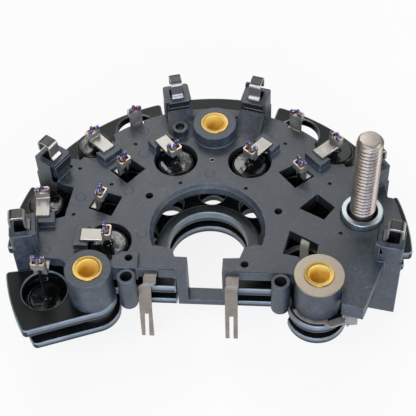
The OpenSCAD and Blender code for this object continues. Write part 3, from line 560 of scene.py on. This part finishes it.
def eased(node, name, material, radius, steps=2, edge=None, shortest=0.0, corner=0.0, shape=None, linings=()):
    """A piece with the shape of a CAD node whose hard edges are eased by a small radius in mm. The easings get the
    edge finish, edges shorter than shortest, in mm, stay sharp, and upright outer corners are rounded by corner. The
    function shape changes the copy first."""
    bm = bmesh.new()
    bm.from_mesh(solids[node].data)
    if shape:
        bm = shape(bm)
    bmesh.ops.remove_doubles(bm, verts=bm.verts, dist=2e-6)
    bmesh.ops.dissolve_limit(bm, angle_limit=FLAT_EDGE, verts=bm.verts, edges=bm.edges)
    if corner:
        upright = []
        for line in bm.edges:
            one, two = line.verts
            outer = min(one.co.xy.length, two.co.xy.length) > OUTER_R * MM
            convex = len(line.link_faces) == 2 and line.calc_face_angle_signed(0.0) > CORNER_EDGE
            if outer and convex and (one.co - two.co).xy.length < 1e-6:
                upright.append(line)
        ease(bm, upright, corner, 5, 0)
    many = [face for face in bm.faces if len(face.verts) > 4]
    bmesh.ops.triangulate(bm, faces=many, quad_method="BEAUTY", ngon_method="BEAUTY")
    hard = []
    for line in bm.edges:
        sharp = len(line.link_faces) == 2 and line.calc_face_angle(0.0) > HARD_EDGE
        cusp = all(abs(v.co.z / MM - TOWER_FOOT) < 0.01 for v in line.verts)
        if sharp and not cusp and line.calc_length() > shortest * MM:
            hard.append(line)
    ease(bm, hard, radius, steps, 1 if edge else -1)
    piece = piece_from(name, bm, material, [node], [edge, *linings] if edge else ())
    for face in piece.data.polygons:
        if abs(face.normal.z) > 0.999:
            face.use_smooth = False
    flat = piece.modifiers.new("flat_faces_stay_flat", "WEIGHTED_NORMAL")
    flat.keep_sharp = True
    return piece


def lathe(bm, profile, at, steps=72, finish=0):
    """A turned skin: (radius, height) in mm around an upright axis, in the order of its outline."""
    rings = []
    for radius, height in profile:
        ring = []
        count = 1 if radius < 1e-6 else steps
        for i in range(count):
            a = 2 * math.pi * i / steps
            ring.append(bm.verts.new((MM * (at[0] + radius * math.cos(a)), MM * (at[1] + radius * math.sin(a)),
                                      MM * height)))
        rings.append(ring)
    for low, high in zip(rings, rings[1:]):
        for i in range(steps):
            j = (i + 1) % steps
            corners = [low[i % len(low)], low[j % len(low)], high[j % len(high)], high[i % len(high)]]
            kept = [v for k, v in enumerate(corners) if v not in corners[:k]]
            if len(kept) > 2:
                bm.faces.new(kept).material_index = finish


def turned(name, profile, at, material, steps=72, replaced=()):
    """A turned piece of one finish."""
    bm = bmesh.new()
    lathe(bm, profile, at, steps)
    return piece_from(name, bm, material, replaced)


def prism(plan, low, high):
    """An upright solid over an outline in mm."""
    bm = bmesh.new()
    rows = [[bm.verts.new((x * MM, y * MM, z * MM)) for x, y in plan] for z in (low, high)]
    for row in rows:
        bm.faces.new(row)
    skin(bm, rows)
    bmesh.ops.recalc_face_normals(bm, faces=bm.faces)
    return bm


def make_shoulders():
    """Shoulders that close the ends of the ring-shaped slot beside the two posts, and the backs of the posts."""
    near, far = POST_X
    for name, sign, inner, turns in (
            ("left", -1, [(-5.5, -11.4), (-9.4, -11.3), (-10.4, -8.4), (-12.9, -7.8), (-15.3, -7.3)],
             (-156, -150, -144, -138, -132, -126, -120, -117)),
            ("right", 1, [(5.5, -11.4), (10.6, -11.1), (11.8, -7.2), (13.9, -6.3), (15.8, -5.8)],
             (-20, -26, -32, -38, -44, -50, -56, -62))):
        plan = inner + arc((0.0, 0.0), SLOT_R, turns) + [(sign * far, POST_FRONT), (sign * near, POST_FRONT)]
        bm = prism(plan, FACE_Z - 1.25, FACE_Z + 0.02)
        if name == "right":
            hole = bmesh.new()
            lathe(hole, [(0.0, FACE_Z - 2), (SCREW_R, FACE_Z - 2), (SCREW_R, FACE_Z + 1), (0.0, FACE_Z + 1)],
                  POST_HOLE, 32)
            bm = cut_out(bm, hole)
        piece_from("post_shoulder_" + name, bm, POLYESTER)
        front, rear = POST_BACK
        back = [(sign * far, front), (sign * far, rear), (sign * near, rear), (sign * near, front)]
        piece_from("post_back_" + name, prism(back, 3.0, FACE_Z - 1.2), POLYESTER)


def make_ramps():
    """Ramps from the face of the moulding up to the pockets of the two rear towers."""
    u0, v0 = TOWER_HALF
    high = TOWER_TOP - 3.6
    for k, (mid, out, side) in enumerate(list(towers())[:2]):
        bm = bmesh.new()
        rows = []
        for step in range(9):
            t = step / 8
            u = -u0 + 0.05 - 10.0 * t
            z = FACE_Z - 0.03 + (high - FACE_Z) * (1 - t) ** 1.5
            half = v0 - 0.15 + 0.9 * t
            rows.append([bm.verts.new((mid + out * u + side * v + UP * h) * MM)
                         for v, h in ((-half, FACE_Z - 0.3), (-half, z - 0.12), (-half + 0.25, z), (half - 0.25, z),
                                      (half, z - 0.12), (half, FACE_Z - 0.3))])
        skin(bm, rows, closed=False)
        bmesh.ops.recalc_face_normals(bm, faces=bm.faces)
        piece_from("tower_ramp_%d" % (k + 1), bm, POLYESTER)


def make_moulding():
    """Moulding with its eased edges, spacers, bores and socket floors dark with painted shade, mould marks and eyelet.
    """
    eased("insulator_plate", "moulded_insulator", POLYESTER, 0.2, 2, POLYESTER_EDGE_HIGHLIGHT, 0.25,
          shape=open_towers, linings=[SHADE_WALL])
    for side in ("top", "left", "right"):
        eased("sink_spacer_" + side, "spacer_" + side, BLACK_MOULDING_AND_SHADE, 0.2)
    make_shoulders()
    make_ramps()
    # bores of the screw tubes and the peg, lined near-black: painted shade
    bm = bmesh.new()
    for at, radius, low, high in BORES:
        lathe(bm, [(radius - 0.02, high - 0.35), (radius - 0.02, low + 0.2)], at, 32)
    piece_from("bore_shade_linings", bm, SHADE_WALL)
    # ejector sockets: a dark disc on each floor, painted shade
    bm = bmesh.new()
    for at in PIN_AT:
        lathe(bm, [(SOCKET_R, FACE_Z - 0.57), (0.4, FACE_Z - 0.5), (0.0, FACE_Z - 0.48)], at, 20)
    piece_from("ejector_socket_shade", bm, BLACK_MOULDING_AND_SHADE)
    # plain round marks of the mould, each a low ring around a slightly sunken disc
    bm = bmesh.new()
    for x, y, r in MARK_AT:
        lathe(bm, [(r, FACE_Z - 0.02), (r - 0.08, FACE_Z + 0.1), (r - 0.3, FACE_Z + 0.1), (r - 0.4, FACE_Z + 0.015),
                   (0.0, FACE_Z + 0.015)], (x, y), 40)
    piece_from("mould_marks", bm, POLYESTER)
    # steel eyelet between the two upper diodes
    bm = bmesh.new()
    lathe(bm, [(0.98, FACE_Z - 0.02), (0.93, FACE_Z + 0.12), (0.76, FACE_Z + 0.14), (0.64, FACE_Z),
               (SOCKET_R, FACE_Z - 0.4)], EYELET_AT, 24)
    piece_from("eyelet", bm, DULL_STEEL)


def make_plates():
    """The two stamped plates, with round outer corners and sheared walls; a painted highlight lies along their eased
    edges.
    """
    eased("positive_heat_sink", "upper_plate", UPPER_PLATE, 0.45, 2, SHEARED_EDGE_HIGHLIGHT, 0.0, 1.2,
          open_walls, [UPPER_WALL, RIM_TOP_LIGHT])
    eased("negative_heat_sink", "lower_plate", LOWER_PLATE, 0.35, 2, SHEARED_EDGE_HIGHLIGHT, 0.0, 1.2,
          open_walls, [LOWER_WALL])
    # the hole under the right front window, its rim painted bright: painted light
    r = STRAP_HOLE_R
    turned("hole_rim_light", [(r - 0.03, POS_TOP - 2.1), (r - 0.03, POS_TOP - 0.48), (r + 0.15, POS_TOP - 0.17),
                          (r + 0.45, POS_TOP + 0.03)], STRAP_HOLE, PAINTED_LIGHT_RIM)


def smooth(value):
    """0 below 0, 1 above 1 and a soft step between."""
    t = min(1.0, max(0.0, value))
    return t * t * (3 - 2 * t)


def sliced(piece, low, high, step):
    """The mesh of a piece as a bmesh, cut at even heights in mm so that it can bend."""
    bm = bmesh.new()
    bm.from_mesh(piece.data)
    for k in range(int((high - low) / step) + 1):
        bmesh.ops.bisect_plane(bm, geom=bm.verts[:] + bm.edges[:] + bm.faces[:], dist=1e-7,
                               plane_co=(0.0, 0.0, (low + step * k) * MM), plane_no=(0.0, 0.0, 1.0))
    return bm


def spring_out(contact, lean):
    """Gives a flat contact strip its spring: a joggle below the bar, a slow bow, and a lean to the left that grows
    toward the foot."""
    bar_z, joggle_z, bend_z, waist_z = 16.6, 12.0, 10.7, 1.5
    bm = sliced(contact, -15.0, 16.0, 0.4)
    for v in bm.verts:
        z = v.co.z / MM
        dip = math.exp(-((z - waist_z) / 3.0) ** 2)
        v.co.y -= (0.6 * smooth((joggle_z - z) / 2.4) - 0.4 * dip) * MM
        v.co.x -= lean * (7.0 * smooth((bar_z + 0.6 - z) / 1.5) + max(0.0, bar_z - z)) * MM
        v.co.z += 1.6 * math.exp(-((z - bend_z) / 2.5) ** 2) * MM
    bm.to_mesh(contact.data)
    bm.free()


def settle_hook(strip):
    """Presses the hook of a strip down to its height in the photograph and draws its long leg outward at the foot."""
    pressed, drawn, leg = 0.73, 0.145, 3.6
    bm = sliced(strip, TOWER_TOP + 0.1, TOWER_TOP + 2.5, 0.3)
    for v in bm.verts:
        z = v.co.z / MM
        if z <= TOWER_TOP:
            continue
        for mid, out, side in towers():
            from_mid = v.co / MM - mid
            if abs(from_mid.dot(out)) < 5 and abs(from_mid.dot(side)) < 4:
                v.co += out * (leg - from_mid.dot(out)) * drawn * smooth((z - TOWER_TOP - 0.4) / 1.6) * MM
                v.co.z = (TOWER_TOP + (z - TOWER_TOP) * pressed) * MM
    bm.to_mesh(strip.data)
    bm.free()


def make_strap():
    """Link strap: a strip that slopes out of the moulding, hangs straight down and stands on the lower plate."""
    start, end = Vector((*STRAP_FROM, 0.0)), Vector((*STRAP_TO, 0.0))
    out = (end - start).normalized()
    side = Vector((-out.y, out.x, 0.0))
    far, half, wide = (end - start).length - 0.3, 0.3, 1.4
    top, foot = STRIP_Z - half, NEG_TOP + half
    path = [(-1.0, top), (far - 2.3, top), (far - 1.9, top - 0.1), (far - 0.35, top - 1.6), (far - 0.1, top - 1.9),
            (far, top - 2.4), (far, foot + 0.5), (far + 0.15, foot + 0.15), (far + 0.5, foot), (far + 3.9, foot)]
    bm = bmesh.new()
    rows = []
    for k, (s, z) in enumerate(path):
        before, after = path[max(0, k - 1)], path[min(len(path) - 1, k + 1)]
        along = Vector((after[0] - before[0], after[1] - before[1])).normalized()
        row = []
        for across, lift in ((-wide, -half), (wide, -half), (wide, half), (-wide, half)):
            here = start + out * (s - along.y * lift) + side * across + UP * (z + along.x * lift)
            row.append(bm.verts.new(here * MM))
        rows.append(row)
    skin(bm, rows)
    bm.faces.new(list(reversed(rows[0])))
    bm.faces.new(rows[-1])
    bmesh.ops.recalc_face_normals(bm, faces=bm.faces)
    piece_from("strap_strip", bm, STRAP_TIN, ["link_strap"])


def make_tab_root():
    """Sheet root of the side terminal: it lies on the upper plate and bends round the foot of the right boss."""
    boss, (inner, outer), thick = BUSH_AT["right"], TAB_ROOT_R, 0.6
    plan = arc(boss, outer, range(205, 284, 6)) + TAB_FOOT + arc(boss, inner, range(295, 204, -6))
    bm = prism(plan, POS_TOP - 0.02, POS_TOP + thick)
    ease(bm, [line for line in bm.edges if line.calc_face_angle(0.0) > HARD_EDGE], 0.12, 2, clamp=True)
    piece_from("side_tab_root", bm, DULL_STEEL)


def make_strips():
    """Strips and terminals: five phase strips, the tap, the strap, the spring contacts and the two tabs."""
    for i in range(1, 6):
        settle_hook(eased("phase_bar_%d" % i, "phase_strip_%d" % i, TIN, 0.13, 2, TIN_EDGE_HIGHLIGHT))
    settle_hook(eased("tap_bar", "tap_strip", TIN, 0.13, 2, TIN_EDGE_HIGHLIGHT))
    make_strap()
    for side, lean in (("left", 0.056), ("right", 0.015)):
        spring_out(eased("spring_contact_" + side, "contact_strip_" + side, SPRING_STEEL, 0.1), lean)
    eased("side_terminal", "side_tab", DULL_STEEL, 0.12)
    make_tab_root()
    eased("corner_terminal", "corner_tab", DULL_STEEL, 0.12)


def make_bushes():
    """Brass bushes with a low flange and an eased mouth, and the washer under the right one."""
    for side, at in BUSH_AT.items():
        seat = top_of("bush_washer") if side == "right" else foot_of("bush_washer")
        top = seat + 0.3
        outside = [(BORE_R, 0.25), (BORE_R + 0.25, 0.0), (BUSH_R - 0.25, 0.0), (BUSH_R, 0.25), (BUSH_R, seat - 0.2),
                   (FLANGE_R - 0.15, seat - 0.2), (FLANGE_R, seat), (FLANGE_R - 0.03, top - 0.12),
                   (FLANGE_R - 0.15, top), (BORE_R + 0.3, top)]
        bore = [(BORE_R + 0.3, top), (BORE_R + 0.12, top - 0.1), (BORE_R + 0.02, top - 0.3), (BORE_R, top - 0.6),
                (BORE_R, 0.25)]
        bm = bmesh.new()
        lathe(bm, outside, at)
        lathe(bm, bore, at, finish=1)
        bmesh.ops.remove_doubles(bm, verts=bm.verts, dist=1e-6)
        piece_from("bush_" + side, bm, BRASS, ["mounting_bush_" + side], [BRASS_BORE_LIGHT])
    eased("bush_washer", "washer", WASHER_STEEL, 0.15)


def make_diodes():
    """Diodes: a pressed cup, the resin poured into it, and the lead with a thin dull span and a swollen tip."""
    for kind, axes, top, cap in (("pos", POS_AT, POS_TOP, POS_CAP), ("neg", NEG_AT, NEG_TOP, NEG_CAP)):
        for i, at in enumerate(axes, 1):
            node = "diode_%s_%d" % (kind, i)
            foot = foot_of(node)
            cup = [(0.0, foot), (PRESS_R - 0.4, foot), (PRESS_R, foot + 0.4), (PRESS_R, top), (COLLAR_R, top + 0.15),
                   (COLLAR_R, top + 1.05), (COLLAR_R - 0.15, top + 1.2), (CUP_R, top + 1.25), (CUP_R, cap - 0.55),
                   (CUP_R - 0.15, cap - 0.4), (CUP_R - 0.45, cap - 0.42), (CUP_R - 0.65, cap - 0.8)]
            turned("cup_%s_%d" % (kind, i), cup, at, DIODE_CUP, replaced=[node])
            resin = [(5.55, cap - 0.46), (5.5, cap - 0.3), (5.3, cap - 0.16), (4.9, cap - 0.1), (3.6, cap - 0.05),
                     (2.2, cap), (1.4, cap + 0.1), (0.95, cap + 0.35), (0.7, cap + 0.9), (0.0, cap + 0.95)]
            turned("resin_%s_%d" % (kind, i), resin, at, RESIN)
            tip = [(TIP_R, CLIP_FOOT), (TIP_R, FORK_TOP - 0.5), (0.5, FORK_TOP - 0.15), (0.25, FORK_TOP),
                   (0.0, FORK_TOP)]
            bm = bmesh.new()
            lathe(bm, [(LEAD_R, cap - 0.5), (LEAD_R, CLIP_FOOT - 0.4), (TIP_R, CLIP_FOOT)], at, 16, 1)
            lathe(bm, tip, at, 16)
            bmesh.ops.remove_doubles(bm, verts=bm.verts, dist=1e-6)
            piece_from("lead_%s_%d" % (kind, i), bm, TIN, (), [DIODE_CUP])


def make_clips():
    """The part of each fork that is folded round the lead: a short open box, seen in front of the upturned plate."""
    bm = bmesh.new()
    low, high, wall = CLIP_FOOT, FORK_TOP - 1.5, 0.5
    plan = [(0.72, -2.15), (-0.75, -2.15), (-1.2, -1.7), (-1.2, 1.7), (-0.75, 2.15), (0.72, 2.15)]
    inner = [(0.72, -2.15 + wall), (-0.6, -2.15 + wall), (-1.2 + wall, -1.45), (-1.2 + wall, 1.45),
             (-0.6, 2.15 - wall), (0.72, 2.15 - wall)]
    for at, turn in FORKS:
        ahead, across = directions(turn)
        rows = []
        for ring, z in ((inner, low), (plan, low), (plan, high), (inner, high)):
            rows.append([bm.verts.new((Vector((*at, z)) + ahead * u + across * v) * MM) for u, v in ring])
        skin(bm, [*rows, rows[0]], closed=False)
    bmesh.ops.recalc_face_normals(bm, faces=bm.faces)
    return piece_from("lead_clips", bm, TIN)


def make_welds():
    """Melted beads on the two prongs of each fork and on the lead tip before them, with a low seam that joins them."""
    bm = bmesh.new()
    for k, (at, turn) in enumerate(FORKS):
        ahead, across = directions(turn)
        lead = Vector((*at, FORK_TOP))
        # middle and half sizes of each bead
        beads = [(lead + ahead * 1.1 + across * 1.5 + UP * 0.2, (0.5, 0.5, 0.62)),
                 (lead + ahead * 1.1 - across * 1.5 + UP * 0.15, (0.52, 0.48, 0.6)),
                 (lead + UP * 0.1, (0.55, 0.55, 0.7)),
                 (lead + ahead * 0.55 - UP * 1.6, (0.75, 0.95, 0.35))]
        for j, (mid, size) in enumerate(beads):
            made = bmesh.ops.create_icosphere(bm, subdivisions=3, radius=1.0)
            mid = mid - UP * size[2] * 0.75
            for v in made["verts"]:
                bump = 1.0 + 0.14 * noise.noise(v.co * 1.9 + Vector((k * 3.7, j * 2.1, 0.0)))
                here = ahead * v.co.x * size[0] + across * v.co.y * size[1] + UP * v.co.z * size[2]
                v.co = (here * bump + mid) * MM
    return piece_from("weld_beads", bm, TIN)


def make_stud():
    """Output stud: head, grip in the upper plate, neck, thread cut as a helix, and a chamfered tip."""
    foot, tip, under = foot_of("output_stud"), top_of("output_stud"), foot_of("positive_heat_sink")
    start, end = top_of("stud_sleeve") + 0.2, tip - 0.4
    turned("stud_shank", [(0.0, foot), (HEAD_R - 0.4, foot), (HEAD_R, foot + 0.4), (HEAD_R, under), (GRIP_R, under),
                          (GRIP_R, POS_TOP), (NECK_R, POS_TOP), (NECK_R, start + 0.4)],
           STUD_AT, STUD_STEEL, replaced=["output_stud"])
    # the thread is drawn a little coarser than a real 1.25 mm pitch, as its turns are spaced in the photograph
    pitch, deep, groove, steps = 1.5, 0.7, 3.55, 64
    turns = [360 * i / steps for i in range(steps)]
    bm = bmesh.new()
    rows = []
    levels = int((end - start) / pitch * 10)
    for j in range(levels + 1):
        z = start + (end - start) * j / levels
        ring = []
        for turn in turns:
            wave = abs(((z / pitch - turn / 360) % 1.0) * 2 - 1)
            crest = min(1.0, max(0.0, (wave - 0.14) / 0.72))
            fade = min(1.0, (z - start) / 0.9, (end + 0.2 - z) / 1.2)
            radius = THREAD_R - deep * (1 - crest) - max(0.0, 1 - fade) * 0.55
            (x, y), = arc(STUD_AT, radius, [turn])
            ring.append(bm.verts.new((x * MM, y * MM, z * MM)))
        rows.append(ring)
    skin(bm, rows)
    # the roots of the thread get the darker finish: painted shade
    for face in bm.faces:
        low = min(v.co.z for v in face.verts) / MM
        reach = (face.calc_center_median() / MM - Vector((*STUD_AT, 0.0))).xy.length
        face.material_index = 1 if reach < groove and start + 1.0 < low < end - 1.8 else 0
    bm.faces.new(list(reversed(rows[0])))
    for radius, z in ((3.1, tip - 0.1), (2.7, tip)):
        rows.append([bm.verts.new((x * MM, y * MM, z * MM)) for x, y in arc(STUD_AT, radius, turns)])
        skin(bm, rows[-2:])
    bm.faces.new(rows[-1])
    piece_from("stud_thread", bm, STUD_STEEL, (), [THREAD_GROOVE_SHADE])
    eased("stud_sleeve", "sleeve", ZINC_STEEL, 0.35, 3)


def make_stage():
    """Pale floor under the lowest point, soft lamps and the camera of the photograph."""
    scene = bpy.context.scene
    scene.view_settings.view_transform = "Standard"
    bm = bmesh.new()
    bmesh.ops.create_grid(bm, x_segments=8, y_segments=8, size=3.0)
    mesh = bpy.data.meshes.new("floor")
    bm.to_mesh(mesh)
    bm.free()
    floor = bpy.data.objects.new("floor", mesh)
    floor.location.z = (LOWEST_Z - 0.05) * MM
    scene.collection.objects.link(floor)
    paper, tree = finish_named("matt_white_paper")
    seen = add(tree, "ShaderNodeLightPath")
    shown = add(tree, "ShaderNodeMath", {"operation": "MAXIMUM"},
                {0: (seen, "Is Camera Ray"), 1: (seen, "Is Glossy Ray")})
    place = add(tree, "ShaderNodeTexCoord")
    fibre = add(tree, "ShaderNodeTexNoise", {"Scale": 1 / 0.05, "Detail": 2.0}, {"Vector": (place, "Object")})
    white = add(tree, "ShaderNodeValToRGB", {"stops": [(0.3, "f4f4f3"), (0.7, "f9f9f8")]}, {"Fac": (fibre, "Fac")})
    matt = add(tree, "ShaderNodeBsdfDiffuse", {}, {"Color": (white, "Color")})
    bright = add(tree, "ShaderNodeEmission", {"Color": linear("ffffff"), "Strength": 1.0})
    share = add(tree, "ShaderNodeMath", {"operation": "MULTIPLY", 1: 0.86}, {0: (shown, "Value")})
    both = add(tree, "ShaderNodeMixShader", {}, {0: (share, "Value"), 1: (matt, "BSDF"), 2: (bright, "Emission")})
    add(tree, "ShaderNodeOutputMaterial", {}, {"Surface": (both, "Shader")})
    mesh.materials.append(paper)

    world = bpy.data.worlds.new("soft_room")
    scene.world = world
    world.use_nodes = True
    world.node_tree.nodes.clear()
    tree = world.node_tree
    seen = add(tree, "ShaderNodeLightPath")
    room = add(tree, "ShaderNodeBackground", {"Color": linear("f2f4f6"), "Strength": 0.09})
    backdrop = add(tree, "ShaderNodeBackground", {"Color": linear("ffffff"), "Strength": 1.0})
    both = add(tree, "ShaderNodeMixShader", {},
               {0: (seen, "Is Camera Ray"), 1: (room, "Background"), 2: (backdrop, "Background")})
    add(tree, "ShaderNodeOutputWorld", {}, {"Surface": (both, "Shader")})

    for name, (place, size, power, tint) in LAMPS.items():
        data = bpy.data.lights.new(name, "AREA")
        data.color = linear(tint)[:3]
        data.shape = "SQUARE"
        data.size = size
        data.energy = power
        lamp = bpy.data.objects.new(name, data)
        lamp.location = place
        lamp.rotation_mode = "QUATERNION"
        lamp.rotation_quaternion = (LAMP_AIM - Vector(place)).to_track_quat("-Z", "Y")
        scene.collection.objects.link(lamp)

    data = bpy.data.cameras.new("photo_camera")
    data.sensor_width = 36.0
    data.lens = data.sensor_width * FOCAL_PIXELS / PHOTO_WIDTH
    data.clip_start = 0.01
    data.clip_end = 20.0
    camera = bpy.data.objects.new("photo_camera", data)
    e, a, roll = [math.radians(v) for v in (CAMERA_HEIGHT, CAMERA_TURN, CAMERA_ROLL)]
    back = Vector((math.sin(a) * math.cos(e), -math.cos(a) * math.cos(e), math.sin(e)))
    right = UP.cross(back).normalized()
    above = back.cross(right)
    side = right * math.cos(roll) + above * math.sin(roll)
    rise = above * math.cos(roll) - right * math.sin(roll)
    turn = Matrix((side, rise, back)).transposed().to_4x4()
    camera.matrix_world = Matrix.Translation((Vector(CAMERA_AIM) + back * CAMERA_DISTANCE) * MM) @ turn
    scene.collection.objects.link(camera)
    scene.camera = camera


make_moulding()
make_plates()
make_strips()
make_bushes()
make_diodes()
make_clips()
make_welds()
make_stud()
make_stage()
